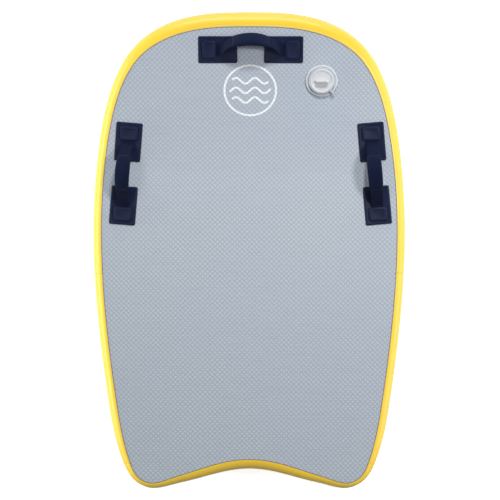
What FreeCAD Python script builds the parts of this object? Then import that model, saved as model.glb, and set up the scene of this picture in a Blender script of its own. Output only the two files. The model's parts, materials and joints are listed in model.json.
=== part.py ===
import FreeCAD, Part
import math
import os

# Inflatable drop-stitch bodyboard, in millimetres. +Z is up off the deck, +Y points to the nose,
# and the origin is under the middle of the board, on the surface that it rests on.
# Everything is laid out on a flat board (x across, s along, h above the mid-surface), and
# bend() then rolls the front of it up into the nose rocker.

Vector = FreeCAD.Vector

# --- driving dimensions -------------------------------------------------------------------
rocker_start = 170.0          # s where the flat bottom ends and the nose begins to rise
rocker_radius = 950.0
fabric = 0.9                  # one layer of PVC-coated fabric
glue = 0.1                    # gap between glued layers
skin_low, skin_high = 36.6, 37.5            # heights of a drop-stitch skin's two faces
pad_low, pad_high = 37.6, 39.2              # embossed deck pad
slick_low, slick_high = -38.5, -37.6        # bottom slick
tape_height = 38.4            # half height of the rail over the outer tape
tape_edge = 0.5               # the tape is skived to this along its glued edges
flange_width = 22.0           # lap of the inner sidewall under each skin
flange_gap = 0.5              # its straight lengths stay this far below the skin's bend
layer_inset = 0.9             # deck pad and slick stop this far inside the panel's edge
skin_inset = 0.3
seam_gap = 0.4                # half the joint between two lengths of rail tape
wall_inset = 2.6              # inner sidewall's swell inside the outer tape's
tape_step, wall_step = 20, 45               # degrees between the points of a rail's section
spans_per_point = 2           # lofted lengths from one outline point to the next
yarn_pitch, yarn_radius, yarn_margin = 54.0, 1.1, 36.0

outline_samples = 240         # places where the outline is tested for the drop threads

# Half of the panel's edge, from the middle of the tail round the right side to the nose:
# (x, s, how far the rail swells past the edge there)
half_edge = [
    (0, -442, 25), (62, -450, 24.5), (125, -469, 22), (172, -484, 18.5), (211, -492, 16),
    (238, -478, 16), (253, -450, 18), (283, -315, 21), (304.5, -145, 21), (312, -46, 21),
    (314.5, 50, 21), (306, 196, 21), (290, 292, 21.5), (263, 372, 22), (225, 427, 23),
    (172, 462, 24), (96, 483, 24), (0, 487.5, 24),
]
tail_corner, side_seam, wall_seam = 6, 9, 10    # places in half_edge where the rail is joined

# Valve and handle places on the flat board
valve_x, valve_s = 152.5, 370.0
valve_pocket = 42.0           # no drop threads within this radius of the valve
hole_gap = 0.3                # the tube's clearance in the deck, the skin and the gasket
nose_handle = dict(x=3.0, s=438.0, turn=0.0, lean=46.0)
left_handle = dict(x=-262.0, s=167.0, turn=85.5, lean=6.0)
right_handle = dict(x=266.0, s=167.0, turn=95.0, lean=4.5)

# Handle, in its own frame: u along the handle, v across it, w up off the deck pad
patch_length, patch_width, patch_thick, patch_corner = 82.0, 56.0, 1.6, 4.0
patch_centre = 69.0           # distance of a patch's centre from the handle's middle
bead_inset, bead_width, bead_height = 1.6, 2.4, 0.7
cover_length, cover_width, cover_corner, cover_skin = 32.0, 41.0, 3.0, 1.2
cover_slope, window_rim = 2.2, 7.0          # lean of the cover's sides, and width of its top rim
strap_width, strap_thick = 25.4, 2.5
strap_tab_end = 99.0          # where the webbing ends under the cover
strap_root = 71.6             # where it comes out from under the cover
root_radius, root_angle = 14.0, 55.0
grip_half_length = 32.0
grip_width, grip_thick, grip_skin = 31.0, 11.5, 0.8
foam_half_length = 30.0
patch_top = glue + patch_thick
strap_height = patch_top + glue + strap_thick / 2 + glue
cover_top = strap_height + strap_thick / 2 + glue + cover_skin
top_radius = strap_root / math.sin(math.radians(root_angle)) - root_radius
arch_rise = (top_radius + root_radius) * (1 - math.cos(math.radians(root_angle)))

# Valve, in its own frame: w up the valve's axis from the pad's surface
flange_radius, flange_top = 33.5, 4.3
bore_radius, tube_radius, tube_bottom = 15.0, 19.9, -33.0
neck_radius, neck_top = 21.4, 8.8
seat_low, seat_high, seat_radius = -18.0, -16.0, 11.0
spider_low, spider_high, hub_radius = -11.5, -9.0, 5.2
stem_radius, button_radius, button_low, button_high = 2.4, 6.6, 1.0, 3.0
cap_radius, cap_low, cap_top, cap_wall = 25.2, 4.8, 12.2, 2.4
nut_radius, nut_waist, nut_height, notch_count = 31.0, 24.5, 13.0, 6
wing_length, wing_thick, wing_top = 27.0, 4.2, 20.5
seal_low, seal_high, flute_count = 5.6, 7.4, 24


# --- the flat board and its bend ----------------------------------------------------------
def full_edge():
    """The closed outline's points: up the right side from the tail, then down the left."""
    left = [(-x, s, swell) for x, s, swell in reversed(half_edge[1:-1])]
    return half_edge + left


def edge_parameters(points):
    """Distance travelled round the outline at each point, closing on the first."""
    travelled = [0.0]
    for here, there in zip(points, points[1:] + points[:1]):
        travelled.append(travelled[-1] + math.hypot(there[0] - here[0], there[1] - here[1]))
    return travelled


edge_points = full_edge()
edge_travel = edge_parameters(edge_points)
edge_curve = Part.BSplineCurve()
edge_curve.interpolate(Points=[Vector(*p) for p in edge_points], Parameters=edge_travel,
                       PeriodicFlag=True)


def edge_at(t):
    """(point, outward direction, swell) of the panel's edge at parameter t."""
    t = t % edge_travel[-1]
    point, tangent = edge_curve.value(t), edge_curve.tangent(t)[0]
    outward = Vector(tangent.y, -tangent.x, 0).normalize()
    return Vector(point.x, point.y, 0), outward, point.z


def raw_bend(x, s, h):
    if s <= rocker_start:
        return Vector(x, s, h)
    angle = (s - rocker_start) / rocker_radius
    reach = rocker_radius - h
    return Vector(x, rocker_start + reach * math.sin(angle), rocker_radius - reach * math.cos(angle))


def length_centre():
    """Middle of the board's length after bending, over the rail's swell."""
    low, high = 0.0, 0.0
    for step in range(400):
        point, outward, swell = edge_at(step * edge_travel[-1] / 400)
        for degrees in range(-60, 61, 5):
            tilt = math.radians(degrees)
            s = point.y + outward.y * swell * math.cos(tilt)
            y = raw_bend(point.x, s, tape_height * math.sin(tilt)).y
            low, high = min(low, y), max(high, y)
    return (low + high) / 2


mid_length = length_centre()


def bend(x, s, h):
    """Where a point of the flat board is on the real one."""
    point = raw_bend(x, s, h)
    return Vector(point.x, point.y - mid_length, point.z - slick_low)


def bend_frame(x, s, h, turn):
    """Placement of a frame on the bent board: its X axis turned from +X by turn degrees, Z off the deck."""
    angle = max(0.0, s - rocker_start) / rocker_radius
    tilt = FreeCAD.Rotation(Vector(1, 0, 0), math.degrees(angle))
    return FreeCAD.Placement(bend(x, s, h), tilt.multiply(FreeCAD.Rotation(Vector(0, 0, 1), turn)))


# --- small tools --------------------------------------------------------------------------
def save(shape, node):
    shape.exportStep(os.path.join("parts", node + ".step"))


def extruded(wire, length):
    return Part.Face(wire).extrude(Vector(0, 0, length))


def rounded_rectangle(length, width, corner, w=0.0, centre=0.0):
    """Closed wire centred on (centre, 0) at height w."""
    plate = Part.makeBox(length, width, 1.0, Vector(centre - length / 2, -width / 2, w))
    plate = plate.makeFillet(corner, [e for e in plate.Edges if is_upright(e)])
    return [f for f in plate.Faces if f.BoundBox.ZMax < w + 0.1][0].OuterWire


def is_upright(edge):
    box = edge.BoundBox
    return box.XLength < 1e-6 and box.YLength < 1e-6


def ring(inner, outer, low, high):
    tube = Part.makeCylinder(outer, high - low, Vector(0, 0, low))
    return tube.cut(Part.makeCylinder(inner, high - low, Vector(0, 0, low)))


def closed(points):
    return Part.makePolygon(points + points[:1])


def revolved(profile):
    """Full turn about Z of a closed (r, w) profile."""
    wire = closed([Vector(r, 0, w) for r, w in profile])
    return Part.Face(wire).revolve(Vector(0, 0, 0), Vector(0, 0, 1), 360)


def placed(shape, placement):
    moved = shape.copy()
    moved.Placement = placement.multiply(moved.Placement)
    return moved


# --- panels: skins, deck pad, bottom slick ------------------------------------------------
def board_slab(low, high):
    """A bent slab between two heights, wider and longer than the board."""
    half_width, tail, nose = 400.0, -560.0, 560.0
    bend_angle = (nose - rocker_start) / rocker_radius

    def side(h):
        straight = Part.LineSegment(bend(0, tail, h), bend(0, rocker_start, h)).toShape()
        middle = bend(0, rocker_start + bend_angle * rocker_radius / 2, h)
        return straight, Part.Arc(bend(0, rocker_start, h), middle, bend(0, nose, h)).toShape()

    low_line, low_arc = side(low)
    high_line, high_arc = side(high)
    nose_end = Part.LineSegment(bend(0, nose, low), bend(0, nose, high)).toShape()
    tail_end = Part.LineSegment(bend(0, tail, high), bend(0, tail, low)).toShape()
    wire = Part.Wire(Part.__sortEdges__([low_line, low_arc, nose_end, high_arc, high_line, tail_end]))
    slab = Part.Face(wire).extrude(Vector(2 * half_width, 0, 0))
    slab.translate(Vector(-half_width, 0, 0))
    return slab


def edge_prism(inset, h):
    """Upright prism inside the board's outline, as it lies at height h, drawn in by inset."""
    points = []
    for t in edge_stations(0, len(edge_points), spans_per_point)[:-1]:
        point, outward, _ = edge_at(t)
        place = point - outward * inset
        bent = bend(place.x, place.y, h)
        points.append(Vector(bent.x, bent.y, -50))
    outline = Part.BSplineCurve()
    outline.interpolate(Points=points, PeriodicFlag=True)
    return extruded(Part.Wire(outline.toShape()), 300)


def edge_stations(first, last, per_span):
    """Parameters from outline point first to last, with per_span steps from point to point."""
    turns, count = edge_travel[-1], len(edge_points)
    stations = []
    for index in range(first, last):
        start = edge_travel[index % count] + turns * (index // count)
        step = (edge_travel[index % count + 1] - edge_travel[index % count]) / per_span
        stations += [start + step * k for k in range(per_span)]
    stations.append(edge_travel[last % count] + turns * (last // count))
    return stations


def panel(low, high, inset):
    return board_slab(low, high).common(edge_prism(inset, (low + high) / 2)).Solids[0]


def valve_hole(radius):
    hole = Part.makeCylinder(radius, 60, Vector(0, 0, -30))
    return placed(hole, bend_frame(valve_x, valve_s, pad_high, 0))


def build_panels():
    save(panel(skin_low, skin_high, skin_inset).cut(valve_hole(tube_radius + hole_gap)), "top_skin")
    save(panel(-skin_high, -skin_low, skin_inset), "bottom_skin")
    save(panel(pad_low, pad_high, layer_inset).cut(valve_hole(tube_radius + hole_gap)), "deck_pad")
    save(panel(slick_low, slick_high, layer_inset), "bottom_slick")


# --- rails --------------------------------------------------------------------------------
def rail_arc(t, shrink, half_height, step):
    """Points of a half ellipse round the rail at parameter t, from its top edge to its bottom edge."""
    point, outward, swell = edge_at(t)
    points = []
    for degrees in range(90, -91, -step):
        angle = math.radians(degrees)
        place = point + outward * ((swell - shrink) * math.cos(angle))
        points.append(bend(place.x, place.y, half_height * math.sin(angle)))
    return points


def tape_section(t):
    """The outer rail tape cut across: two half ellipses joined at their ends."""
    outer = rail_arc(t, 0, tape_height, tape_step)
    inner = rail_arc(t, fabric, tape_height - tape_edge, tape_step)
    return closed(outer + inner[::-1])


def sidewall_section(t):
    """The inner sidewall cut across: the swell, with a flange under each skin."""
    point, outward, _ = edge_at(t)
    lap = point - outward * flange_width
    high, low = skin_low - flange_gap, skin_low - flange_gap - fabric
    outer = rail_arc(t, wall_inset, high, wall_step)
    inner = rail_arc(t, wall_inset + fabric, low, wall_step)
    foot = [bend(lap.x, lap.y, -high), bend(lap.x, lap.y, -low)]
    head = [bend(lap.x, lap.y, low), bend(lap.x, lap.y, high)]
    return closed(outer + foot + inner[::-1] + head)


def strip(section, first, last):
    """A strip lofted round the rail between two outline points, short of each by the seam gap."""
    stations = edge_stations(first, last, spans_per_point)
    stations[0] += seam_gap
    stations[-1] -= seam_gap
    return Part.makeLoft([section(t) for t in stations], True, True)


def build_rails():
    count, nose = len(edge_points), len(half_edge) - 1
    left_seam, left_corner, left_wall = 2 * nose - side_seam, 2 * nose - tail_corner, 2 * nose - wall_seam
    save(strip(tape_section, side_seam, left_seam), "nose_rail_tape")
    save(strip(tape_section, tail_corner, side_seam), "right_rail_tape")
    save(strip(tape_section, left_seam, left_corner), "left_rail_tape")
    save(strip(tape_section, left_corner, count + tail_corner), "tail_rail_tape")
    save(strip(sidewall_section, wall_seam, left_wall), "inner_sidewall_front")
    save(strip(sidewall_section, left_wall, count + wall_seam), "inner_sidewall_rear")


# --- drop threads -------------------------------------------------------------------------
def inside_panel(x, s, outline):
    """True if a flat place is inside the outline, and clear of it by the yarns' margin."""
    inside = False
    for a, b in zip(outline, outline[1:] + outline[:1]):
        if a.distanceToPoint(Vector(x, s, 0)) < yarn_margin:
            return False
        if (a.y > s) != (b.y > s) and x < a.x + (s - a.y) * (b.x - a.x) / (b.y - a.y):
            inside = not inside
    return inside


def build_drop_threads():
    """Bundles of drop threads on a staggered grid, tying the two skins together."""
    reach = skin_low - glue
    outline = [edge_at(step * edge_travel[-1] / outline_samples)[0] for step in range(outline_samples)]
    triangle = closed([Vector(yarn_radius * math.cos(a), yarn_radius * math.sin(a), 0)
                       for a in (0, 2 * math.pi / 3, 4 * math.pi / 3)])
    bundles = []
    for row in range(-9, 10):
        s = row * yarn_pitch
        for column in range(-6, 7):
            x = (column + 0.5 * (row % 2)) * yarn_pitch
            near_valve = math.hypot(x - valve_x, s - valve_s) < valve_pocket
            if near_valve or not inside_panel(x, s, outline):
                continue
            bundle = extruded(triangle, 2 * reach)
            bundles.append(placed(bundle, bend_frame(x, s, -reach, 0)))
    save(Part.makeCompound(bundles), "drop_threads")


# --- handles ------------------------------------------------------------------------------
def flat_place(handle, u, v):
    turn = math.radians(handle["turn"])
    x = handle["x"] + u * math.cos(turn) - v * math.sin(turn)
    return x, handle["s"] + u * math.sin(turn) + v * math.cos(turn)


def handle_frame(handle, u, v=0.0, w=0.0):
    """Placement of a piece at (u, v, w) in the handle's own frame, square to the bent deck there."""
    x, s = flat_place(handle, u, v)
    return bend_frame(x, s, pad_high + w, handle["turn"])


def deck_layer(low, high):
    """A bent layer between two heights above the deck pad."""
    return board_slab(pad_high + low, pad_high + high)


def base_patch(handle, side):
    """Moulded patch that follows the deck, with a welded bead round its rim."""
    frame = handle_frame(handle, side * patch_centre)
    reach = 12.0

    def column(drawn_in, corner):
        outline = rounded_rectangle(patch_length - 2 * drawn_in, patch_width - 2 * drawn_in, corner, -reach)
        return placed(extruded(outline, 2 * reach), frame)

    plate = deck_layer(glue, patch_top).common(column(0, patch_corner))
    rim = column(bead_inset, patch_corner - bead_inset).cut(column(bead_inset + bead_width, 0.8))
    bead = deck_layer(patch_top - 0.3, patch_top + bead_height).common(rim)
    return plate.fuse(bead).removeSplitter().Solids[0]


def clipped_rectangle(length, width, w):
    """Closed wire of a rectangle with its corners cut off."""
    a, b, c = length / 2, width / 2, cover_corner
    ends = [(a, c - b), (a, b - c), (a - c, b), (c - a, b),
            (-a, b - c), (-a, c - b), (c - a, -b), (a - c, -b)]
    return closed([Vector(u, v, w) for u, v in ends])


def strap_cover(handle, side, tunnel):
    """Raised cover welded over the webbing's end, open to the webbing at the front."""
    sunk, high = 3.0, cover_top
    foot = clipped_rectangle(cover_length, cover_width, -sunk)
    top = clipped_rectangle(cover_length - 2 * cover_slope, cover_width - 2 * cover_slope, high)
    block = Part.makeLoft([foot, top], True, True)
    window = rounded_rectangle(cover_length - 2 * window_rim, cover_width - 2 * window_rim, 1.5, high - 0.5)
    block = block.cut(extruded(window, 2))
    block = placed(block, handle_frame(handle, side * (strap_root + cover_length / 2)))
    return block.cut(deck_layer(-10, patch_top + glue)).cut(tunnel).Solids[0]


def arch_path():
    """Strap's centre line: (u, rise, slope) from the middle of the handle to the webbing's end."""
    turn = math.radians(root_angle)
    path = []
    for step in range(7):
        angle = turn * step / 6
        path.append((top_radius * math.sin(angle), arch_rise - top_radius * (1 - math.cos(angle)), -angle))
    for step in (3, 2, 1, 0):
        angle = turn * step / 4
        path.append((strap_root - root_radius * math.sin(angle), root_radius * (1 - math.cos(angle)), -angle))
    tab = strap_tab_end - strap_root
    return path + [(strap_root + tab / 2, 0.0, 0.0), (strap_tab_end, 0.0, 0.0)]


def strap_stations(end):
    """The strap's centre line from one side to the other, out to end either side of its middle."""
    half = [p for p in arch_path() if p[0] < strap_tab_end - 0.1] + [(end, 0.0, 0.0)]
    return [(-u, rise, -slope) for u, rise, slope in reversed(half[1:])] + half


def cross_section(handle, station, outline):
    """A flat outline of (across, through) pairs, set square on the strap's centre line."""
    u, rise, slope = station
    lean = math.radians(handle["lean"])
    share = min(1.0, rise / (0.55 * arch_rise))
    twist = lean * share * share * (3 - 2 * share)
    frame = handle_frame(handle, u, rise * math.sin(lean), strap_height + rise * math.cos(lean))
    points = []
    for across, through in outline:
        along, up = -through * math.sin(slope), through * math.cos(slope)
        local = Vector(along, across * math.cos(twist) + up * math.sin(twist),
                       up * math.cos(twist) - across * math.sin(twist))
        points.append(frame.multVec(local))
    return closed(points)


def band_solid(handle, stations, width, thick):
    across, through = width / 2, thick / 2
    corners = [(-across, -through), (across, -through), (across, through), (-across, through)]
    return Part.makeLoft([cross_section(handle, station, corners) for station in stations], True, True)


def padded_solid(handle, half_length, width, thick):
    """A padded length of the grip: a squared oval lofted along the top of the arch."""
    oval = []
    for corner in range(16):
        around = math.radians(22.5 * corner)
        across, through = math.cos(around), math.sin(around)
        reach = (abs(across) ** 3 + abs(through) ** 3) ** (-1 / 3)
        oval.append((width / 2 * reach * across, thick / 2 * reach * through))
    wires = []
    for step in range(-4, 5):
        angle = math.asin(half_length / top_radius * step / 4)
        rise = arch_rise - top_radius * (1 - math.cos(angle))
        wires.append(cross_section(handle, (top_radius * math.sin(angle), rise, -angle), oval))
    return Part.makeLoft(wires, True, True)


def build_handle(name, handle):
    tunnel = band_solid(handle, strap_stations(strap_tab_end + 1), strap_width + 0.8, strap_thick + 0.4)
    for side, end in ((-1, "a"), (1, "b")):
        save(base_patch(handle, side), f"{name}_patch_{end}")
        save(strap_cover(handle, side, tunnel), f"{name}_cover_{end}")
    strap = band_solid(handle, strap_stations(strap_tab_end), strap_width, strap_thick)
    save(strap, f"{name}_webbing")
    hollow_width, hollow_thick = grip_width - 2 * grip_skin, grip_thick - 2 * grip_skin
    sleeve = padded_solid(handle, grip_half_length, grip_width, grip_thick)
    hollow = padded_solid(handle, grip_half_length + 2, hollow_width, hollow_thick)
    foam = padded_solid(handle, foam_half_length, hollow_width - 0.4, hollow_thick - 0.4)
    save(sleeve.cut(hollow), f"{name}_grip_sleeve")
    save(foam.cut(tunnel), f"{name}_grip_foam")


# --- valve --------------------------------------------------------------------------------
valve_frame = bend_frame(valve_x, valve_s, pad_high, 0)


def save_valve_piece(shape, node):
    save(placed(shape, valve_frame), node)


def valve_body():
    """Flange, neck and tube in one moulding, with the seat and the stem's guide inside."""
    shell = revolved([
        (bore_radius, neck_top), (neck_radius, neck_top), (neck_radius, flange_top),
        (flange_radius - 5, flange_top), (flange_radius - 4, flange_top + 0.9),
        (flange_radius - 1.2, flange_top + 0.9), (flange_radius, flange_top - 0.6), (flange_radius, 1.5),
        (tube_radius, 1.5), (tube_radius, tube_bottom), (tube_radius - 2.4, tube_bottom),
        (tube_radius - 2.4, seat_low), (seat_radius, seat_low), (seat_radius, seat_high),
        (bore_radius, seat_high),
    ])
    spider = ring(stem_radius + 0.15, hub_radius, spider_low, spider_high)
    for arm in range(3):
        web = Part.makeBox(bore_radius + 1.5 - hub_radius, 2.4, spider_high - spider_low,
                           Vector(hub_radius - 0.5, -1.2, spider_low))
        web.rotate(Vector(0, 0, 0), Vector(0, 0, 1), 30 + 120 * arm)
        spider = spider.fuse(web)
    return shell.fuse(spider).Solids[0]


def valve_nut():
    """Backing nut inside the board, gripping the skin from below, with spanner notches."""
    top = skin_low - pad_high - 0.3
    nut = revolved([
        (tube_radius + 0.1, top), (nut_radius, top), (nut_radius, top - 2.6), (nut_waist, top - 3.6),
        (nut_waist, top - nut_height), (tube_radius + 0.1, top - nut_height),
    ])
    for notch in range(notch_count):
        cutter = Part.makeBox(6, 5, 8, Vector(nut_waist - 1.5, -2.5, top - nut_height - 1))
        cutter.rotate(Vector(0, 0, 0), Vector(0, 0, 1), 360 / notch_count * notch)
        nut = nut.cut(cutter)
    return nut


def valve_stem():
    """Push pin: a rod with a button that carries two locking lugs."""
    rod = Part.makeCylinder(stem_radius, button_low + 25.5, Vector(0, 0, -25.5))
    button = Part.makeCylinder(button_radius, button_high - button_low, Vector(0, 0, button_low))
    lugs = Part.makeBox(2 * button_radius + 4, 3.0, 1.4, Vector(-button_radius - 2, -1.5, button_low))
    cross = Part.makeBox(9.0, 1.6, 1.0, Vector(-4.5, -0.8, button_high - 0.8))
    return rod.fuse(button).fuse(lugs).cut(cross)


def valve_poppet():
    disc = ring(stem_radius + 0.05, 14.2, seat_low - 1.9, seat_low - 0.1)
    return disc.fuse(ring(stem_radius + 0.05, 6.0, seat_low - 3.6, seat_low - 1.9))


def valve_spring():
    """Compression spring from the stem's guide up to the button, in square wire."""
    turns, steps, radius, wire = 5, 12, 3.9, 0.36
    low, high = spider_high + 0.6, button_low - 0.6
    sections = []
    for step in range(turns * steps + 1):
        angle = 2 * math.pi * step / steps
        level = low + (high - low) * step / (turns * steps)
        outward = Vector(math.cos(angle), math.sin(angle), 0)
        sections.append(closed([outward * (radius + r) + Vector(0, 0, level + z)
                                for r, z in ((-wire, -wire), (wire, -wire), (wire, wire), (-wire, wire))]))
    return Part.makeLoft(sections, True, True)


def valve_cap():
    """Screw-down cap: dished top with a finger wing, outer skirt with grip flutes, inner plug."""
    plate_low, plate_high = 9.2, 10.8
    plug = bore_radius - 0.3
    body = revolved([
        (0, plate_high), (cap_radius - 4.4, plate_high), (cap_radius - 3.2, cap_top),
        (cap_radius - 0.9, cap_top), (cap_radius, cap_top - 0.9), (cap_radius, cap_low),
        (cap_radius - cap_wall, cap_low), (cap_radius - cap_wall, plate_low), (plug, plate_low),
        (plug, seal_high), (plug - 1.5, seal_high), (plug - 1.5, seal_low), (plug, seal_low),
        (plug - 0.5, 3.6), (12.2, 3.6), (12.2, plate_low), (0, plate_low),
    ])
    wing = Part.makeBox(wing_length, wing_thick, wing_top - plate_high + 0.3,
                        Vector(-wing_length / 2, -wing_thick / 2, plate_high - 0.3))
    ends = [e for e in wing.Edges if e.BoundBox.YLength > 1 and e.BoundBox.ZMin > wing_top - 0.1]
    body = body.fuse(wing.makeFillet(6.0, ends))
    for flute in range(flute_count):
        groove = Part.makeBox(1.6, 2.6, 5.8, Vector(cap_radius - 0.5, -1.3, cap_low - 0.5))
        groove.rotate(Vector(0, 0, 0), Vector(0, 0, 1), 360 / flute_count * flute)
        body = body.cut(groove)
    return body.Solids[0]


def cap_seal():
    return ring(bore_radius - 1.7, bore_radius - 0.15, seal_low + 0.1, seal_high - 0.1)


def cap_tether():
    """Soft leash: a ring on the flange, a loop out past its rim, and a collar round the cap."""
    thick = 0.9
    low, high = flange_top + 1.5, cap_top - 2.4
    anchor = ring(cap_radius + 0.4, cap_radius + 2.4, low - thick / 2, low + thick / 2)
    collar = ring(cap_radius + 0.2, cap_radius + 1.8, high - thick, high + thick)
    inner, outer = cap_radius + 1.0, flange_radius + 1.5
    bulge = (high - low) / 2
    turn = Part.Arc(Vector(outer, 0, low), Vector(outer + bulge, 0, low + bulge), Vector(outer, 0, high))
    path = Part.Wire([
        Part.LineSegment(Vector(inner, 0, low), Vector(outer, 0, low)).toShape(),
        turn.toShape(),
        Part.LineSegment(Vector(outer, 0, high), Vector(inner, 0, high)).toShape(),
    ])
    section = closed([Vector(inner, -2.5, low - thick / 2), Vector(inner, 2.5, low - thick / 2),
                      Vector(inner, 2.5, low + thick / 2), Vector(inner, -2.5, low + thick / 2)])
    loop = path.makePipeShell([section], True, True)
    loop.rotate(Vector(0, 0, 0), Vector(0, 0, 1), -46)
    return anchor.fuse(collar).fuse(loop)


def build_valve():
    save_valve_piece(valve_body(), "valve_body")
    save_valve_piece(valve_nut(), "valve_backing_nut")
    gasket = placed(ring(tube_radius + hole_gap, flange_radius - 0.6, -2.0, 1.4), valve_frame)
    save(gasket.cut(deck_layer(-10, glue)), "valve_gasket")
    save_valve_piece(valve_stem(), "valve_push_pin")
    save_valve_piece(valve_poppet(), "valve_poppet")
    save_valve_piece(valve_spring(), "valve_spring")
    save_valve_piece(valve_cap(), "valve_cap")
    save_valve_piece(cap_seal(), "cap_seal")
    save_valve_piece(cap_tether(), "cap_tether")


os.makedirs("parts", exist_ok=True)
build_panels()
build_rails()
build_drop_threads()
build_handle("nose_handle", nose_handle)
build_handle("left_handle", left_handle)
build_handle("right_handle", right_handle)
build_valve()
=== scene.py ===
import json
import math

import bpy
import numpy as np
from mathutils import Matrix, Vector, noise


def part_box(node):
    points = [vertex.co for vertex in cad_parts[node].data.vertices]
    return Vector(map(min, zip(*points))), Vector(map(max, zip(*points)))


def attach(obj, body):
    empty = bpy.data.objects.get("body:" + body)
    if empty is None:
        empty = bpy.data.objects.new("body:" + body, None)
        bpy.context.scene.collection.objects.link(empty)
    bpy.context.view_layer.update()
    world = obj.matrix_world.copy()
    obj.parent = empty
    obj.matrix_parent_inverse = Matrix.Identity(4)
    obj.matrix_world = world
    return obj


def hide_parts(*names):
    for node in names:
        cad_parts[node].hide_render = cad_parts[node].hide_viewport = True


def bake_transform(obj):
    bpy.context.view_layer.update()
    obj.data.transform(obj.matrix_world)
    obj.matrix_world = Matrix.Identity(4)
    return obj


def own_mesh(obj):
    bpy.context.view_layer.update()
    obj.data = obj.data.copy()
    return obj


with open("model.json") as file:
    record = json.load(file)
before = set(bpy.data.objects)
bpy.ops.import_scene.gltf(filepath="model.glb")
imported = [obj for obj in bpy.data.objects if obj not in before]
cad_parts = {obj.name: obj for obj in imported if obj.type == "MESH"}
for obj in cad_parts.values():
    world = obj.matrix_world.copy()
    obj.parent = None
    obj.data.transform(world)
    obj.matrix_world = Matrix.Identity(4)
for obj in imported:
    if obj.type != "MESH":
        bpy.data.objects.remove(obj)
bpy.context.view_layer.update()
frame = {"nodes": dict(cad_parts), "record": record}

scene = bpy.context.scene
print("frame loaded")

# the board's own form, in metres: x across, s along the flat board, h above its mid-surface
board = {
    "rockerStart": 0.170, "rockerRadius": 0.950,
    "bottom": 0.0385, "padTop": 0.0392, "padInset": 0.0009,
    # half of the panel's edge, from the middle of the tail to the nose: across, along, swell of the rail
    "halfEdge": [
        (0, -0.442, 0.025), (0.062, -0.450, 0.0245), (0.125, -0.469, 0.022),
        (0.172, -0.484, 0.0185), (0.211, -0.492, 0.016), (0.238, -0.478, 0.016),
        (0.253, -0.450, 0.018), (0.283, -0.315, 0.021), (0.3045, -0.145, 0.021),
        (0.312, -0.046, 0.021), (0.3145, 0.050, 0.021), (0.306, 0.196, 0.021),
        (0.290, 0.292, 0.0215), (0.263, 0.372, 0.022), (0.225, 0.427, 0.023),
        (0.172, 0.462, 0.024), (0.096, 0.483, 0.024), (0, 0.4875, 0.024),
    ],
}


def closedCurve(points):
    # smooth closed curve through the points, measured by the distance from point to point
    places = np.array(points, float)
    steps = np.linalg.norm((np.roll(places, -1, 0) - places)[:, :2], axis=1)
    count = len(places)
    system, right = np.zeros((count, count)), np.zeros_like(places)
    for i in range(count):
        before, after = steps[i - 1], steps[i]
        system[i, i - 1] += before / 6
        system[i, i] += (before + after) / 3
        system[i, (i + 1) % count] += after / 6
        right[i] = (places[(i + 1) % count] - places[i]) / after - (places[i] - places[i - 1]) / before
    bends = np.linalg.solve(system, right)
    starts = np.concatenate([[0], np.cumsum(steps)])
    return {"places": places, "steps": steps, "bends": bends, "starts": starts, "count": count}


def curvePoint(curve, travel):
    travel = travel % curve["starts"][-1]
    i = min(int(np.searchsorted(curve["starts"], travel, "right")) - 1, curve["count"] - 1)
    j, step = (i + 1) % curve["count"], curve["steps"][i]
    b = (travel - curve["starts"][i]) / step
    a = 1 - b
    here, there = curve["places"][i], curve["places"][j]
    bendHere, bendThere = curve["bends"][i], curve["bends"][j]
    point = a * here + b * there + ((a ** 3 - a) * bendHere + (b ** 3 - b) * bendThere) * step * step / 6
    slope = (there - here) / step + ((3 * b * b - 1) * bendThere - (3 * a * a - 1) * bendHere) * step / 6
    outward = Vector((slope[1], -slope[0], 0)).normalized()
    return Vector((point[0], point[1], 0)), outward, point[2]


leftHalf = [(-x, s, swell) for x, s, swell in reversed(board["halfEdge"][1:-1])]
edgeCurve = closedCurve(board["halfEdge"] + leftHalf)
edgeLength = edgeCurve["starts"][-1]
tailLow = min(curvePoint(edgeCurve, edgeLength * i / 2000)[0].y for i in range(2000))
board["shift"] = tailLow + board["padInset"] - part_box("deck_pad")[0].y


def onBoard(x, s, h):
    # a place of the flat board, on the real one with its turned-up nose
    angle = max(0.0, s - board["rockerStart"]) / board["rockerRadius"]
    reach = board["rockerRadius"] - h
    rise = board["rockerRadius"] - reach * math.cos(angle)
    along = min(s, board["rockerStart"]) + reach * math.sin(angle)
    return Vector((x, along - board["shift"], rise + board["bottom"]))


def deckFrame(x, s, h, turn=0.0):
    angle = max(0.0, s - board["rockerStart"]) / board["rockerRadius"]
    tilt = Matrix.Rotation(angle, 4, "X") @ Matrix.Rotation(math.radians(turn), 4, "Z")
    return Matrix.Translation(onBoard(x, s, h)) @ tilt


# modelling helpers
def startEdit():
    bpy.ops.object.mode_set(mode="EDIT")


def endEdit():
    bpy.ops.object.mode_set(mode="OBJECT")


def deselectAll():
    if bpy.context.object and bpy.context.object.mode != "OBJECT":
        bpy.ops.object.mode_set(mode="OBJECT")
    bpy.ops.object.select_all(action="DESELECT")


def makeActive(piece):
    deselectAll()
    piece.select_set(True)
    bpy.context.view_layer.objects.active = piece


def applyAll(piece):
    makeActive(piece)
    for modifier in list(piece.modifiers):
        bpy.ops.object.modifier_apply(modifier=modifier.name)


def smoothByAngle(piece, degrees):
    makeActive(piece)
    bpy.ops.object.shade_smooth_by_angle(angle=math.radians(degrees))


def turnOutwards(piece):
    makeActive(piece)
    startEdit()
    bpy.ops.mesh.select_all(action="SELECT")
    bpy.ops.mesh.normals_make_consistent(inside=False)
    endEdit()


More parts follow.
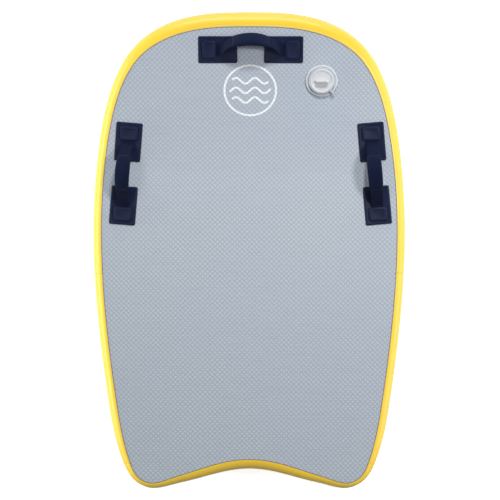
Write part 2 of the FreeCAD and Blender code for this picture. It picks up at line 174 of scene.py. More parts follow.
def gridPiece(name, along, across, place, span=(1.0, 1.0), closed=False):
    # a grid laid out by place(a, b), both from 0 to 1, with its map in metres
    deselectAll()
    bpy.ops.mesh.primitive_grid_add(x_subdivisions=along, y_subdivisions=across, size=1)
    piece = bpy.context.object
    piece.name = name
    for loopMap in piece.data.uv_layers.active.data:
        loopMap.uv = (loopMap.uv[0] * span[0], loopMap.uv[1] * span[1])
    for vertex in piece.data.vertices:
        vertex.co = place(vertex.co.x + 0.5, vertex.co.y + 0.5)
    if closed:
        startEdit()
        bpy.ops.mesh.select_all(action="SELECT")
        bpy.ops.mesh.remove_doubles(threshold=1e-6)
        endEdit()
    return piece


def addSolidify(piece, thickness, offset):
    solidify = piece.modifiers.new("thickness", "SOLIDIFY")
    solidify.thickness = thickness
    solidify.offset = offset
    solidify.use_even_offset = True


def addBevel(piece, width, segments, degrees=35):
    bevel = piece.modifiers.new("edges", "BEVEL")
    bevel.width = width
    bevel.segments = segments
    bevel.limit_method = "ANGLE"
    bevel.angle_limit = math.radians(degrees)
    bevel.harden_normals = False


def finishPiece(piece, material, body, nodes=(), slotName=None, angle=40):
    piece.data.materials.clear()
    piece.data.materials.append(material)
    smoothByAngle(piece, angle)
    if body:
        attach(piece, body)
    if nodes:
        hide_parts(*nodes)


def softenedCopy(node, name, width, segments=2, flat=0.4):
    # a copy of a CAD node with its triangles joined up and its hard edges rounded
    source = frame["nodes"][node]
    mesh = source.data.copy()
    piece = bpy.data.objects.new(name, mesh)
    scene.collection.objects.link(piece)
    makeActive(piece)
    startEdit()
    bpy.ops.mesh.select_all(action="SELECT")
    bpy.ops.mesh.remove_doubles(threshold=2e-6)
    bpy.ops.mesh.dissolve_limited(angle_limit=math.radians(flat))
    endEdit()
    addBevel(piece, width, segments)
    applyAll(piece)
    return piece


def bodyOf(node):
    for body, nodes in frame["record"]["behaviour"]["bodies"].items():
        if node in nodes:
            return body
    return None


# materials
def srgb(red, green, blue):
    return tuple(((c / 255) / 12.92 if c <= 10 else ((c / 255 + 0.055) / 1.055) ** 2.4)
                 for c in (red, green, blue)) + (1.0,)


def newMaterial(name, roughness, colour=None):
    material = bpy.data.materials.new(name)
    material.use_nodes = True
    nodes, links = material.node_tree.nodes, material.node_tree.links
    shader = nodes["Principled BSDF"]
    shader.inputs["Roughness"].default_value = roughness
    if colour:
        shader.inputs["Base Color"].default_value = colour
    return material, nodes, links, shader


def addNode(nodes, kind, values=None, **settings):
    node = nodes.new(kind)
    for key, value in settings.items():
        setattr(node, key, value)
    for key, value in (values or {}).items():
        node.inputs[key].default_value = value
    return node


def mathNode(nodes, links, operation, first, second=None):
    node = addNode(nodes, "ShaderNodeMath", operation=operation)
    for index, value in enumerate((first, second)):
        if value is None:
            continue
        if isinstance(value, (int, float)):
            node.inputs[index].default_value = value
        else:
            links.new(value, node.inputs[index])
    return node.outputs[0]


def noiseNode(nodes, links, vector, scale, detail=3.0, roughness=0.55):
    node = addNode(nodes, "ShaderNodeTexNoise", {"Scale": scale, "Detail": detail, "Roughness": roughness})
    links.new(vector, node.inputs["Vector"])
    return node.outputs["Fac"]


def mapRange(nodes, links, value, fromLow, fromHigh, toLow, toHigh):
    node = addNode(nodes, "ShaderNodeMapRange", {"From Min": fromLow, "From Max": fromHigh,
                                                 "To Min": toLow, "To Max": toHigh})
    links.new(value, node.inputs["Value"])
    return node.outputs["Result"]


def mixColours(nodes, links, factor, first, second):
    node = addNode(nodes, "ShaderNodeMix", data_type="RGBA")
    for socket, value in ((node.inputs[0], factor), (node.inputs[6], first), (node.inputs[7], second)):
        if isinstance(value, (int, float, tuple)):
            socket.default_value = value
        else:
            links.new(value, socket)
    return node.outputs[2]


def addBump(nodes, links, height, strength, distance, normalFrom=None):
    node = addNode(nodes, "ShaderNodeBump", {"Strength": strength, "Distance": distance})
    links.new(height, node.inputs["Height"])
    if normalFrom:
        links.new(normalFrom, node.inputs["Normal"])
    return node.outputs["Normal"]


def waveNode(nodes, links, value, pitch):
    # a sine that repeats every pitch metres
    return mathNode(nodes, links, "SINE", mathNode(nodes, links, "MULTIPLY", value, 2 * math.pi / pitch))


def scaledVector(nodes, links, source, scale, turn=0.0):
    node = addNode(nodes, "ShaderNodeMapping", {"Scale": scale, "Rotation": (0, 0, math.radians(turn))})
    links.new(source, node.inputs["Vector"])
    return node.outputs["Vector"]


deckFinish = {
    # groove is painted shade: the grooves are coloured darker than the crowns, as shade would fall in them
    "groove": srgb(156, 165, 176), "crown": srgb(180, 189, 196),
    "cloud": srgb(160, 170, 190), "streak": srgb(128, 137, 150),
    "spacing": 0.0074, "grooveWidth": 0.32, "bump": 0.0006, "roughness": 0.60, "grain": 900.0,
}


def embossing(nodes, links, coordinates):
    # diamonds pressed into the pad: 0 in the grooves and 1 on the crowns
    sides = []
    for turn in (45, -45):
        turned = scaledVector(nodes, links, coordinates, (1, 1, 1), turn)
        parts = addNode(nodes, "ShaderNodeSeparateXYZ")
        links.new(turned, parts.inputs[0])
        cells = mathNode(nodes, links, "DIVIDE", parts.outputs[0], deckFinish["spacing"])
        sides.append(mathNode(nodes, links, "PINGPONG", cells, 0.5))
    nearest = mathNode(nodes, links, "MINIMUM", sides[0], sides[1])
    smooth = addNode(nodes, "ShaderNodeMapRange", {"From Min": 0.02, "From Max": deckFinish["grooveWidth"]},
                     interpolation_type="SMOOTHSTEP")
    links.new(nearest, smooth.inputs["Value"])
    return smooth.outputs["Result"]


def makeDeckMaterial():
    material, nodes, links, shader = newMaterial("embossedDeckPad", deckFinish["roughness"])
    coordinates = addNode(nodes, "ShaderNodeTexCoord").outputs["Object"]
    crowns = embossing(nodes, links, coordinates)
    cloudy = noiseNode(nodes, links, coordinates, 3.2, 3.0)
    rows = noiseNode(nodes, links, scaledVector(nodes, links, coordinates, (12, 260, 1)), 1.0, 3.0)
    grain = noiseNode(nodes, links, coordinates, deckFinish["grain"], 2.0)
    # painted shade: the grooves between the diamonds are given the darker colour
    base = mixColours(nodes, links, crowns, deckFinish["groove"], deckFinish["crown"])
    clouds = mapRange(nodes, links, cloudy, 0.3, 0.7, 0.0, 0.30)
    base = mixColours(nodes, links, clouds, base, deckFinish["cloud"])
    streaks = mapRange(nodes, links, rows, 0.5, 0.75, 0.0, 0.16)
    base = mixColours(nodes, links, streaks, base, deckFinish["streak"])
    links.new(base, shader.inputs["Base Color"])
    rough = deckFinish["roughness"]
    sheen = mapRange(nodes, links, cloudy, 0.3, 0.7, rough - 0.08, rough + 0.08)
    links.new(sheen, shader.inputs["Roughness"])
    fine = addBump(nodes, links, grain, 0.25, 0.0002)
    links.new(addBump(nodes, links, crowns, 0.5, deckFinish["bump"], fine), shader.inputs["Normal"])
    return material


railFinish = {
    "colour": srgb(252, 212, 44), "warm": srgb(248, 200, 38), "roughness": 0.45, "grain": 1400.0,
}


def makeRailMaterial():
    material, nodes, links, shader = newMaterial("railPvc", railFinish["roughness"])
    shader.inputs["Coat Weight"].default_value = 0.12
    shader.inputs["Coat Roughness"].default_value = 0.22
    coordinates = addNode(nodes, "ShaderNodeTexCoord").outputs["Object"]
    cloudy = noiseNode(nodes, links, coordinates, 7.0, 4.0)
    grain = noiseNode(nodes, links, coordinates, railFinish["grain"], 3.0)
    wide = noiseNode(nodes, links, coordinates, 26.0, 2.0)
    shade = mapRange(nodes, links, cloudy, 0.35, 0.7, 0.0, 0.5)
    base = mixColours(nodes, links, shade, railFinish["colour"], railFinish["warm"])
    links.new(base, shader.inputs["Base Color"])
    rough = railFinish["roughness"]
    sheen = mapRange(nodes, links, grain, 0.3, 0.7, rough - 0.05, rough + 0.05)
    links.new(sheen, shader.inputs["Roughness"])
    soft = addBump(nodes, links, wide, 0.25, 0.0015)
    links.new(addBump(nodes, links, grain, 0.22, 0.00015, soft), shader.inputs["Normal"])
    return material


def makeCoatedFabric(name, colour, shadow, roughness, threadSize=0.0011, coat=0.0):
    # plain-woven base cloth showing faintly through a PVC coating
    material, nodes, links, shader = newMaterial(name, roughness)
    shader.inputs["Coat Weight"].default_value = coat
    coordinates = addNode(nodes, "ShaderNodeTexCoord").outputs["Object"]
    parts = addNode(nodes, "ShaderNodeSeparateXYZ")
    links.new(coordinates, parts.inputs[0])
    waves = [waveNode(nodes, links, parts.outputs[axis], threadSize) for axis in (0, 1)]
    weave = mathNode(nodes, links, "MULTIPLY", waves[0], waves[1])
    cloudy = noiseNode(nodes, links, coordinates, 6.0, 4.0)
    marks = mapRange(nodes, links, cloudy, 0.4, 0.75, 0.0, 0.6)
    links.new(mixColours(nodes, links, marks, colour, shadow), shader.inputs["Base Color"])
    rough = mapRange(nodes, links, cloudy, 0.3, 0.7, roughness - 0.06, roughness + 0.08)
    links.new(rough, shader.inputs["Roughness"])
    links.new(addBump(nodes, links, weave, 0.3, 0.0001), shader.inputs["Normal"])
    return material


patchFinish = {
    "colour": srgb(7, 17, 44), "cloud": srgb(12, 23, 52), "rubbed": srgb(26, 34, 58), "pebble": 1150.0,
}


def makePatchMaterial():
    # welded navy PVC: fine pebble grain, paler where the edges have rubbed
    material, nodes, links, shader = newMaterial("patchPvc", 0.5)
    shader.inputs["Specular IOR Level"].default_value = 0.14
    coordinates = addNode(nodes, "ShaderNodeTexCoord").outputs["Object"]
    pebble = addNode(nodes, "ShaderNodeTexVoronoi", {"Scale": patchFinish["pebble"]})
    links.new(coordinates, pebble.inputs["Vector"])
    cloudy = noiseNode(nodes, links, coordinates, 34.0, 4.0)
    rubbed = addNode(nodes, "ShaderNodeNewGeometry").outputs["Pointiness"]
    edges = mapRange(nodes, links, rubbed, 0.52, 0.60, 0.0, 0.45)
    shade = mapRange(nodes, links, cloudy, 0.35, 0.7, 0.0, 1.0)
    base = mixColours(nodes, links, shade, patchFinish["colour"], patchFinish["cloud"])
    links.new(mixColours(nodes, links, edges, base, patchFinish["rubbed"]), shader.inputs["Base Color"])
    links.new(mapRange(nodes, links, cloudy, 0.3, 0.7, 0.42, 0.56), shader.inputs["Roughness"])
    links.new(addBump(nodes, links, pebble.outputs["Distance"], 0.35, 0.00025), shader.inputs["Normal"])
    return material


webbingFinish = {
    # the darker navy is painted shade for the weave's low places, and the paler navy is a painted highlight
    # for its ridges
    "shadedValley": srgb(3, 9, 30), "litRidge": srgb(9, 19, 48), "fuzz": srgb(30, 38, 62),
    "ribPitch": 0.0021, "weftPitch": 0.0016, "bump": 0.0004,
}


def makeWebbingMaterial():
    # ribbed polyester webbing: warp ribs along it, crossed by the weft
    material, nodes, links, shader = newMaterial("navyWebbing", 0.72)
    shader.inputs["Specular IOR Level"].default_value = 0.08
    shader.inputs["Sheen Weight"].default_value = 0.015
    uv = addNode(nodes, "ShaderNodeTexCoord").outputs["UV"]
    parts = addNode(nodes, "ShaderNodeSeparateXYZ")
    links.new(uv, parts.inputs[0])
    ribs = waveNode(nodes, links, parts.outputs[1], webbingFinish["ribPitch"])
    weft = waveNode(nodes, links, parts.outputs[0], webbingFinish["weftPitch"])
    crossed = mathNode(nodes, links, "MULTIPLY", ribs, weft)
    height = mathNode(nodes, links, "ADD", mathNode(nodes, links, "MULTIPLY", ribs, 0.6),
                      mathNode(nodes, links, "MULTIPLY", crossed, 0.5))
    fuzz = mapRange(nodes, links, noiseNode(nodes, links, uv, 900.0, 3.0), 0.55, 0.8, 0.0, 0.35)
    # painted shade and highlight: darker where the weave lies low, paler on its ridges
    shade = mapRange(nodes, links, height, -1.1, 1.1, 0.0, 1.0)
    base = mixColours(nodes, links, shade, webbingFinish["shadedValley"], webbingFinish["litRidge"])
    links.new(mixColours(nodes, links, fuzz, base, webbingFinish["fuzz"]), shader.inputs["Base Color"])
    links.new(addBump(nodes, links, height, 0.8, webbingFinish["bump"]), shader.inputs["Normal"])
    return material


gripFinish = {
    # the darker navy is painted shade for the knit's low places, and the paler navy is a painted highlight
    # for its ridges
    "shadedValley": srgb(4, 12, 34), "litRidge": srgb(12, 24, 54), "fuzz": srgb(22, 32, 56),
    "knitPitch": 0.0012, "bump": 0.0003, "softness": 0.0012,
}


def makeGripMaterial():
    # close-knit cloth bonded to foam
    material, nodes, links, shader = newMaterial("gripCloth", 0.8)
    shader.inputs["Specular IOR Level"].default_value = 0.07
    shader.inputs["Sheen Weight"].default_value = 0.03
    shader.inputs["Sheen Roughness"].default_value = 0.5
    uv = addNode(nodes, "ShaderNodeTexCoord").outputs["UV"]
    parts = addNode(nodes, "ShaderNodeSeparateXYZ")
    links.new(uv, parts.inputs[0])
    turns = 2 * math.pi / gripFinish["knitPitch"]
    along = mathNode(nodes, links, "MULTIPLY", parts.outputs[0], turns)
    across = mathNode(nodes, links, "MULTIPLY", parts.outputs[1], turns)
    sway = mathNode(nodes, links, "ADD", along, mathNode(nodes, links, "SINE", across))
    knit = mathNode(nodes, links, "MULTIPLY", mathNode(nodes, links, "SINE", sway),
                    mathNode(nodes, links, "COSINE", across))
    fuzz = mapRange(nodes, links, noiseNode(nodes, links, uv, 420.0, 4.0), 0.5, 0.8, 0.0, 0.3)
    # painted shade and highlight: darker where the knit lies low, paler on its ridges
    shade = mapRange(nodes, links, knit, -1, 1, 0, 1)
    base = mixColours(nodes, links, shade, gripFinish["shadedValley"], gripFinish["litRidge"])
    links.new(mixColours(nodes, links, fuzz, base, gripFinish["fuzz"]), shader.inputs["Base Color"])
    soft = addBump(nodes, links, noiseNode(nodes, links, uv, 60.0, 2.0), 0.3, gripFinish["softness"])
    links.new(addBump(nodes, links, knit, 0.6, gripFinish["bump"], soft), shader.inputs["Normal"])
    return material


def makePlasticMaterial(name, colour, tint, roughness):
    # moulded plastic: fine spark-eroded grain, a little cloudier in places
    material, nodes, links, shader = newMaterial(name, roughness)
    coordinates = addNode(nodes, "ShaderNodeTexCoord").outputs["Object"]
    cloudy = noiseNode(nodes, links, coordinates, 60.0, 3.0)
    grain = noiseNode(nodes, links, coordinates, 2200.0, 2.0)
    shade = mapRange(nodes, links, cloudy, 0.4, 0.75, 0.0, 0.6)
    links.new(mixColours(nodes, links, shade, colour, tint), shader.inputs["Base Color"])
    rough = mapRange(nodes, links, cloudy, 0.3, 0.7, roughness - 0.05, roughness + 0.07)
    links.new(rough, shader.inputs["Roughness"])
    links.new(addBump(nodes, links, grain, 0.15, 0.0001), shader.inputs["Normal"])
    return material


def makeSteelMaterial():
    material, nodes, links, shader = newMaterial("springSteel", 0.3, srgb(190, 192, 196))
    shader.inputs["Metallic"].default_value = 1.0
    coordinates = addNode(nodes, "ShaderNodeTexCoord").outputs["Object"]
    drawn = noiseNode(nodes, links, scaledVector(nodes, links, coordinates, (4000, 4000, 600)), 1.0, 2.0)
    links.new(mapRange(nodes, links, drawn, 0.3, 0.7, 0.22, 0.42), shader.inputs["Roughness"])
    return material


def makePrintMaterial():
    # white screen print, thinner in the pad's grooves
    material, nodes, links, shader = newMaterial("deckPrint", 0.55)
    coordinates = addNode(nodes, "ShaderNodeTexCoord").outputs["Object"]
    crowns = embossing(nodes, links, coordinates)
    speckle = noiseNode(nodes, links, coordinates, 700.0, 3.0)
    worn = mathNode(nodes, links, "MULTIPLY", mapRange(nodes, links, crowns, 0, 1, 0.45, 0.0),
                    mapRange(nodes, links, speckle, 0.35, 0.65, 0.6, 1.0))
    base = mixColours(nodes, links, worn, srgb(240, 243, 247), srgb(180, 188, 198))
    links.new(base, shader.inputs["Base Color"])
    links.new(addBump(nodes, links, crowns, 0.6, deckFinish["bump"]), shader.inputs["Normal"])
    return material


deckMaterial = makeDeckMaterial()
railMaterial = makeRailMaterial()
bottomMaterial = makeCoatedFabric("bottomPvc", srgb(226, 230, 232), srgb(206, 212, 217), 0.36, 0.0014, 0.2)
skinMaterial = makeCoatedFabric("skinPvc", srgb(205, 208, 210), srgb(188, 192, 196), 0.5)
threadMaterial = makeCoatedFabric("dropThread", srgb(228, 228, 222), srgb(205, 205, 198), 0.8, 0.0006)
patchMaterial = makePatchMaterial()
webbingMaterial = makeWebbingMaterial()
gripMaterial = makeGripMaterial()
valveMaterial = makePlasticMaterial("valveNylon", srgb(200, 203, 207), srgb(184, 188, 193), 0.46)
pinMaterial = makePlasticMaterial("pinAcetal", srgb(205, 210, 214), srgb(186, 192, 198), 0.32)
nutMaterial = makePlasticMaterial("nutNylon", srgb(140, 146, 153), srgb(120, 126, 134), 0.45)
sealMaterial = makePlasticMaterial("sealRubber", srgb(34, 34, 37), srgb(46, 46, 50), 0.6)
tetherMaterial = makePlasticMaterial("tetherRubber", srgb(178, 184, 192), srgb(164, 171, 180), 0.5)
steelMaterial = makeSteelMaterial()
printMaterial = makePrintMaterial()
# painted shade: dark grey for the bead that stands in for the shade line round the deck's edge
shadowBeadMaterial = makePlasticMaterial("edgeShadowBead", srgb(96, 98, 108), srgb(80, 82, 92), 0.6)
stitchMaterial = makePlasticMaterial("stitchThread", srgb(20, 28, 54), srgb(14, 22, 44), 0.8)
print("materials made")

nodeMaterials = {
    "deck_pad": deckMaterial, "bottom_slick": bottomMaterial, "drop_threads": threadMaterial,
    "top_skin": skinMaterial, "bottom_skin": skinMaterial,
    "inner_sidewall_front": skinMaterial, "inner_sidewall_rear": skinMaterial,
    "valve_gasket": sealMaterial, "valve_poppet": sealMaterial, "cap_seal": sealMaterial,
    "valve_backing_nut": nutMaterial,
}
for nodeName, material in nodeMaterials.items():
    for slot in frame["nodes"][nodeName].material_slots:
        slot.material = material

# rails: four lengths of tape round the swelling side
rail = {
    "halfHeight": 0.0384, "thickness": 0.0009, "seamGap": 0.00008, "edgeRound": 0.00025, "ringSteps": 30,
    "pucker": 0.00028, "puckerPitch": 0.013, "sharpTurn": 20,
    # each length's first and last point of the edge, and its steps
    "lengths": {"nose_rail_tape": (9, 25, 250), "right_rail_tape": (6, 9, 90),
                "left_rail_tape": (25, 28, 90), "tail_rail_tape": (28, 40, 190)},
}


def edgeTravel(index):
    laps, place = divmod(index, edgeCurve["count"])
    return edgeCurve["starts"][place] + laps * edgeLength


def edgeTurning(travel):
    # how sharply the edge turns here, in radians per metre
    reach = 0.012
    before, after = curvePoint(edgeCurve, travel - reach)[1], curvePoint(edgeCurve, travel + reach)[1]
    return before.angle(after) / (2 * reach)


def makeRail(node, first, last, steps):
    start, finish = edgeTravel(first) + rail["seamGap"], edgeTravel(last) - rail["seamGap"]

    def place(a, b):
        travel = start + (finish - start) * a
        point, outward, swell = curvePoint(edgeCurve, travel)
        around = math.radians(90 - 180 * b)
        gathered = min(1.0, edgeTurning(travel) / rail["sharpTurn"]) * math.cos(around) ** 2
        ripple = noise.noise(Vector((travel / rail["puckerPitch"], 3 * b, 0))) * rail["pucker"] * gathered
        side = point + outward * (swell * math.cos(around) + ripple - rail["pucker"] * gathered)
        return onBoard(side.x, side.y, rail["halfHeight"] * math.sin(around))

    name = node.replace("_", "") + "Visual"
    piece = gridPiece(name, steps, rail["ringSteps"], place, (finish - start, 0.1))
    addSolidify(piece, rail["thickness"], 1.0)
    addBevel(piece, rail["edgeRound"], 2, 60)
    applyAll(piece)
    turnOutwards(piece)
    finishPiece(piece, railMaterial, bodyOf(node), [node], "rail_pvc", 50)


for railNode, (first, last, steps) in rail["lengths"].items():
    makeRail(railNode, first, last, steps)
print("rails made")

# printed mark on the deck: three waves in a ring
mark = {
    "x": 0.002, "s": 0.349, "radius": 0.0545, "line": 0.0044, "lift": 0.0001, "film": 0.00012,
    "waveRows": (-0.021, 0.0, 0.021), "waveLength": 0.040, "waveHeight": 0.0062, "clear": 0.011,
}


def printedLine(name, path, steps, closed=False):
    # a flat printed line of even width along path(a), a from 0 to 1
    def place(a, b):
        here = path(a)
        ahead = (path(a + 0.002) - path(a - 0.002)).normalized()
        point = here + Vector((-ahead.y, ahead.x)) * (b - 0.5) * mark["line"]
        return onBoard(mark["x"] + point.x, mark["s"] + point.y, board["padTop"] + mark["lift"])

    piece = gridPiece(name, steps, 2, place, closed=closed)
    if sum(face.normal.z for face in piece.data.polygons) < 0:
        piece.data.flip_normals()
    return piece


def makeMark():
    def ring(a):
        return Vector((math.cos(2 * math.pi * a), math.sin(2 * math.pi * a))) * mark["radius"]

    lines = [printedLine("deckMarkRing", ring, 120, True)]
    for row, level in enumerate(mark["waveRows"]):
        reach = math.sqrt((mark["radius"] - mark["clear"]) ** 2 - level ** 2)

        def wave(a):
            x = (2 * a - 1) * reach
            return Vector((x, level + mark["waveHeight"] * math.sin(2 * math.pi * x / mark["waveLength"])))

        lines.append(printedLine("deckMarkWave" + str(row), wave, 90))
    deselectAll()
    for line in lines:
        line.select_set(True)
    bpy.context.view_layer.objects.active = lines[0]
    bpy.ops.object.join()
    piece = bpy.context.object
    piece.name = "deckMark"
    addSolidify(piece, mark["film"], 1.0)
    applyAll(piece)
    finishPiece(piece, printMaterial, bodyOf("deck_pad"), (), "deck_pad")


makeMark()

# dark bead in the joint between the deck pad and the rails, painted shade standing in for the shade line
# along that joint
bead = {"offset": -0.0004, "level": 0.03855, "radius": 0.00095, "steps": 620, "ringSteps": 8}


def makeShadowBead():
    def place(a, b):
        point, outward, swell = curvePoint(edgeCurve, edgeLength * a)
        around = 2 * math.pi * b
        side = point + outward * (bead["offset"] + bead["radius"] * math.cos(around))
        return onBoard(side.x, side.y, bead["level"] + bead["radius"] * math.sin(around))

    piece = gridPiece("deckEdgeShadowBead", bead["steps"], bead["ringSteps"], place, (edgeLength, 0.006), True)
    turnOutwards(piece)
    finishPiece(piece, shadowBeadMaterial, bodyOf("deck_pad"), (), "deck_pad", 80)


makeShadowBead()

# grab handles
handle = {
    "patchThick": 0.0016, "glue": 0.0001, "strapWidth": 0.0254, "strapThick": 0.0025,
    "root": 0.0716, "tabEnd": 0.099, "rootRadius": 0.014, "rootAngle": math.radians(55),
    "gripHalf": 0.040, "gripWidth": 0.031, "gripThick": 0.0115, "gripEndWidth": 0.0275,
    "gripEndThick": 0.0046, "squareness": 2.7, "edgeRound": 0.0005,
}
handles = {
    "nose": {"x": 0.003, "s": 0.438, "turn": 0.0, "lean": math.radians(46)},
    "left": {"x": -0.262, "s": 0.167, "turn": 85.5, "lean": math.radians(6)},
    "right": {"x": 0.266, "s": 0.167, "turn": 95.0, "lean": math.radians(4.5)},
}
handle["strapHeight"] = handle["patchThick"] + 3 * handle["glue"] + handle["strapThick"] / 2
handle["topRadius"] = handle["root"] / math.sin(handle["rootAngle"]) - handle["rootRadius"]
handle["rise"] = (handle["topRadius"] + handle["rootRadius"]) * (1 - math.cos(handle["rootAngle"]))


def handleFrame(which, u, v=0.0, w=0.0):
    turn = math.radians(which["turn"])
    x = which["x"] + u * math.cos(turn) - v * math.sin(turn)
    s = which["s"] + u * math.sin(turn) + v * math.cos(turn)
    return deckFrame(x, s, board["padTop"] + w, which["turn"])


def strapPath(distance):
    # (u, rise, slope) at a distance along the strap from its middle
    side = 1 if distance >= 0 else -1
    distance = abs(distance)
    topArc = handle["topRadius"] * handle["rootAngle"]
    rootArc = handle["rootRadius"] * handle["rootAngle"]
    if distance <= topArc:
        angle = distance / handle["topRadius"]
        u = handle["topRadius"] * math.sin(angle)
        return side * u, handle["rise"] - handle["topRadius"] * (1 - math.cos(angle)), -side * angle
    if distance <= topArc + rootArc:
        angle = handle["rootAngle"] - (distance - topArc) / handle["rootRadius"]
        u = handle["root"] - handle["rootRadius"] * math.sin(angle)
        return side * u, handle["rootRadius"] * (1 - math.cos(angle)), -side * angle
    return side * (handle["root"] + distance - topArc - rootArc), 0.0, 0.0


def onStrap(which, distance, across, through):
    # a place on or about the strap: across its width and through its thickness
    u, rise, slope = strapPath(distance)
    share = min(1.0, rise / (0.55 * handle["rise"]))
    lean = which["lean"]
    twist = lean * share * share * (3 - 2 * share)
    local = handleFrame(which, u, rise * math.sin(lean), handle["strapHeight"] + rise * math.cos(lean))
    up = through * math.cos(slope)
    return local @ Vector((-through * math.sin(slope), across * math.cos(twist) + up * math.sin(twist),
                           up * math.cos(twist) - across * math.sin(twist)))


def makeWebbing(side, which):
    arcs = (handle["topRadius"] + handle["rootRadius"]) * handle["rootAngle"]
    halfLength = arcs + handle["tabEnd"] - handle["root"]

    def place(a, b):
        wander = 0.0003 * noise.noise(Vector((a * 14, 0, which["turn"])))
        return onStrap(which, (2 * a - 1) * halfLength, (b - 0.5) * handle["strapWidth"] + wander, 0)

    piece = gridPiece(side + "Webbing", 140, 8, place, (2 * halfLength, handle["strapWidth"]))
    addSolidify(piece, handle["strapThick"], 0.0)
    addBevel(piece, 0.0006, 2, 60)
    applyAll(piece)
    finishPiece(piece, webbingMaterial, None, [side + "_handle_webbing"], "webbing", 40)
    foot = handleFrame(which, 0, 0, handle["strapHeight"] + 0.0005)
    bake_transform(piece)


def gripSection(a):
    # (width, thickness) of the padded sleeve along its length: full in the middle, slim at its hems
    crown = math.sin(math.pi * min(max(a, 0.0), 1.0))
    fullness = crown ** 0.55
    width = handle["gripEndWidth"] + (handle["gripWidth"] - handle["gripEndWidth"]) * fullness
    thick = handle["gripEndThick"] + (handle["gripThick"] - handle["gripEndThick"]) * fullness
    return width, thick


def makeGrip(side, which):
    def place(a, b):
        width, thick = gripSection((a - 0.02) / 0.96)
        around = 2 * math.pi * b
        across, through = math.cos(around), math.sin(around)
        square = handle["squareness"]
        reach = (abs(across) ** square + abs(through) ** square) ** (-1 / square)
        if a < 0.01 or a > 0.99:
            width, thick = handle["strapWidth"] + 0.0004, handle["strapThick"] + 0.0004
        wander = noise.noise(Vector((a * 9, math.cos(around) * 2, math.sin(around) * 2 + which["turn"])))
        crease = 1 - 0.05 * wander
        seam = 1 - 0.10 * math.exp(-((b - 0.75) * 60) ** 2)
        distance = (2 * min(max((a - 0.01) / 0.98, 0), 1) - 1) * handle["gripHalf"]
        return onStrap(which, distance, width / 2 * reach * across,
                       thick / 2 * reach * through * crease * seam)

    piece = gridPiece(side + "GripSleeve", 84, 48, place, (2 * handle["gripHalf"], 0.075), closed=True)
    turnOutwards(piece)
    hidden = [side + "_handle_grip_sleeve", side + "_handle_grip_foam"]
    finishPiece(piece, gripMaterial, side + "_grip", hidden, "grip_cloth", 60)


stitch = {"length": 0.0026, "radius": 0.00032, "pitch": 0.0036, "inset": 0.0030}


def makeStitching(side, which):
    # a row of stitches through each hem of the sleeve, above and below
    deselectAll()
    bpy.ops.mesh.primitive_uv_sphere_add(segments=8, ring_count=6, radius=stitch["radius"])
    seed = bpy.context.object
    for vertex in seed.data.vertices:
        vertex.co.y *= stitch["length"] / 2 / stitch["radius"]
    row = []
    for end in (-1, 1):
        width, thick = gripSection(0.5 + end * (0.5 - stitch["inset"] / (2 * handle["gripHalf"])))
        count = int((width - 0.006) / stitch["pitch"])
        for face in (-1, 1):
            for step in range(count):
                across = (step - (count - 1) / 2) * stitch["pitch"]
                square = handle["squareness"]
                bulge = (1 - abs(2 * across / width) ** square) ** (1 / square)
                distance = end * (handle["gripHalf"] - stitch["inset"])
                spot = onStrap(which, distance, across, face * thick / 2 * bulge)
                beyond = onStrap(which, distance, across + 0.001, face * thick / 2 * bulge)
                copy = seed.copy()
                copy.data = seed.data.copy()
                scene.collection.objects.link(copy)
                turn = Vector((0, 1, 0)).rotation_difference(beyond - spot).to_matrix().to_4x4()
                copy.data.transform(Matrix.Translation(spot) @ turn)
                row.append(copy)
    deselectAll()
    seed.select_set(True)
    bpy.ops.object.delete()
    for copy in row:
        copy.select_set(True)
    bpy.context.view_layer.objects.active = row[0]
    bpy.ops.object.join()
    piece = bpy.context.object
    piece.name = side + "GripStitching"
    finishPiece(piece, stitchMaterial, side + "_grip", (), "grip_cloth", 60)


for side, which in handles.items():
    makeWebbing(side, which)
    makeGrip(side, which)
    makeStitching(side, which)
    for end in ("a", "b"):
        for part in ("patch", "cover"):
            node = side + "_handle_" + part + "_" + end
            piece = softenedCopy(node, side + part.capitalize() + end.upper(), handle["edgeRound"])
            finishPiece(piece, patchMaterial, "board", [node], "patch_pvc", 35)
print("handles made")

# valve: rounded copies of its mouldings
for node, name, width, material, slotName in (
        ("valve_body", "valveBody", 0.0004, valveMaterial, "valve_plastic"),
        ("valve_cap", "valveCap", 0.0004, valveMaterial, "valve_plastic"),
        ("valve_push_pin", "valvePushPin", 0.0002, pinMaterial, "pin_plastic")):
    finishPiece(softenedCopy(node, name, width), material, bodyOf(node), [node], slotName, 35)

valve = {
    "x": 0.1525, "s": 0.370, "springLow": -0.0084, "springHigh": 0.0004, "springRadius": 0.0039,
    "wire": 0.00038, "turns": 5, "press": 0.005, "ringTop": 0.0064, "collarFoot": 0.0088,
}
valveFrame = deckFrame(valve["x"], valve["s"], board["padTop"])


def makeSpring():
    # round wire wound up the pin's stem, drawn at its resting length; it does not shorten as the pin is
    # pressed
    def place(a, b):
        turned = 2 * math.pi * valve["turns"] * a
        around = 2 * math.pi * b
        reach = valve["springRadius"] + valve["wire"] * math.cos(around)
        climb = (valve["springHigh"] - valve["springLow"]) * a
        level = valve["springLow"] + climb + valve["wire"] * math.sin(around)
        return valveFrame @ Vector((reach * math.cos(turned), reach * math.sin(turned), level))

    piece = gridPiece("valveSpring", 150, 10, place, closed=True)
    startEdit()
    bpy.ops.mesh.select_all(action="SELECT")
    bpy.ops.mesh.fill_holes(sides=0)
    bpy.ops.mesh.normals_make_consistent(inside=False)
    endEdit()
    finishPiece(piece, steelMaterial, "board", ["valve_spring"], "spring_steel", 60)
    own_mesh(piece)


def makeTether():
    # a rounded copy of the tether moulding, fixed to no moving body; in the real valve its ring stays on
    # the flange and its collar goes with the cap
    piece = softenedCopy("cap_tether", "capTether", 0.0002)
    finishPiece(piece, tetherMaterial, None, ["cap_tether"], "tether_rubber", 35)
    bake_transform(piece)


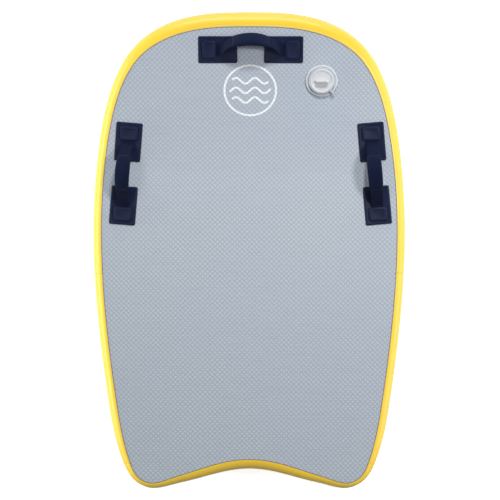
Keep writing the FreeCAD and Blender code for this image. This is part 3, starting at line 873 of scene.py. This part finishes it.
makeSpring()
makeTether()
print("valve made")

# camera, lights and floor
view = {"place": (0.0015, 0.0038, 2.6776), "lens": 88.09}
cameraData = bpy.data.cameras.new("camera")
cameraData.lens = view["lens"]
cameraData.sensor_width = 36
cameraData.clip_end = 20
camera = bpy.data.objects.new("camera", cameraData)
camera.location = view["place"]
scene.collection.objects.link(camera)
scene.camera = camera


def addSoftLight(name, place, aim, size, power):
    data = bpy.data.lights.new(name, "AREA")
    data.shape = "RECTANGLE"
    data.size, data.size_y = size
    data.energy = power
    light = bpy.data.objects.new(name, data)
    light.location = place
    light.rotation_euler = (Vector(aim) - Vector(place)).to_track_quat("-Z", "Y").to_euler()
    scene.collection.objects.link(light)
    return light


def lightOnly(light, pieces):
    # this light falls on these pieces only, and all pieces still cast shadows in it
    lit = bpy.data.collections.new(light.name + "Falls")
    for piece in pieces:
        lit.objects.link(piece)
    light.light_linking.receiver_collection = lit


meshPieces = [piece for piece in scene.objects if piece.type == "MESH"]
railPieces = [piece for piece in meshPieces if railMaterial.name in piece.data.materials]
otherPieces = [piece for piece in meshPieces if piece not in railPieces]
noseLight = addSoftLight("noseLight", (0.35, 1.85, 1.95), (0, 0.2, 0.05), (0.34, 0.3), 41)
railLight = addSoftLight("railLight", (0.0, 0.3, 3.2), (0, 0, 0.05), (1.2, 1.2), 26)
lightOnly(noseLight, otherPieces)
lightOnly(railLight, railPieces)
addSoftLight("leftLight", (-1.5, 0.35, 2.0), (0, 0, 0.05), (0.6, 0.6), 10)
addSoftLight("rightLight", (1.5, 0.35, 2.0), (0, 0, 0.05), (0.35, 0.45), 24)
addSoftLight("lowNoseLight", (0.0, 2.2, 0.30), (0, 0.3, 0.08), (1.8, 0.4), 19)
addSoftLight("lowLeftLight", (-2.0, 0.0, 0.16), (0, 0, 0.05), (2.4, 0.22), 38)
addSoftLight("lowRightLight", (2.0, 0.0, 0.16), (0, 0, 0.05), (2.4, 0.22), 20)

world = bpy.data.worlds.new("studio")
scene.world = world
world.use_nodes = True
skyInputs = world.node_tree.nodes["Background"].inputs
skyInputs["Color"].default_value = (0.93, 0.96, 1.0, 1)
skyInputs["Strength"].default_value = 0.10

studio = {"floorSize": 14, "shellRadius": 6.5, "floorGlow": 0.8, "shellGlow": 0.9,
          "cardSize": 1.6, "cardPlace": -1.27}


def stagePiece(piece, name, glow):
    # seen by the camera and able to take a shadow, but throwing no light back on the board
    piece.name = name
    material, _, _, shader = newMaterial(name + "Paint", 0.9, (0.9, 0.9, 0.9, 1))
    shader.inputs["Emission Color"].default_value = (1, 1, 1, 1)
    shader.inputs["Emission Strength"].default_value = glow
    piece.data.materials.append(material)
    piece.visible_diffuse = False
    piece.visible_shadow = False


deselectAll()
bpy.ops.mesh.primitive_plane_add(size=studio["floorSize"], location=(0, 0, -0.0004))
stagePiece(bpy.context.object, "studioFloor", studio["floorGlow"])
bpy.ops.mesh.primitive_plane_add(size=studio["cardSize"], location=(0, studio["cardPlace"], -0.0002))
stagePiece(bpy.context.object, "tailCard", 0.0)
bpy.context.object.visible_camera = False    # a dark card beyond the tail, which only its edge reflects
bpy.ops.mesh.primitive_uv_sphere_add(segments=64, ring_count=32, radius=studio["shellRadius"])
stagePiece(bpy.context.object, "studioShell", studio["shellGlow"])

scene.view_settings.view_transform = "Standard"
scene.view_settings.look = "None"
print("stage made")
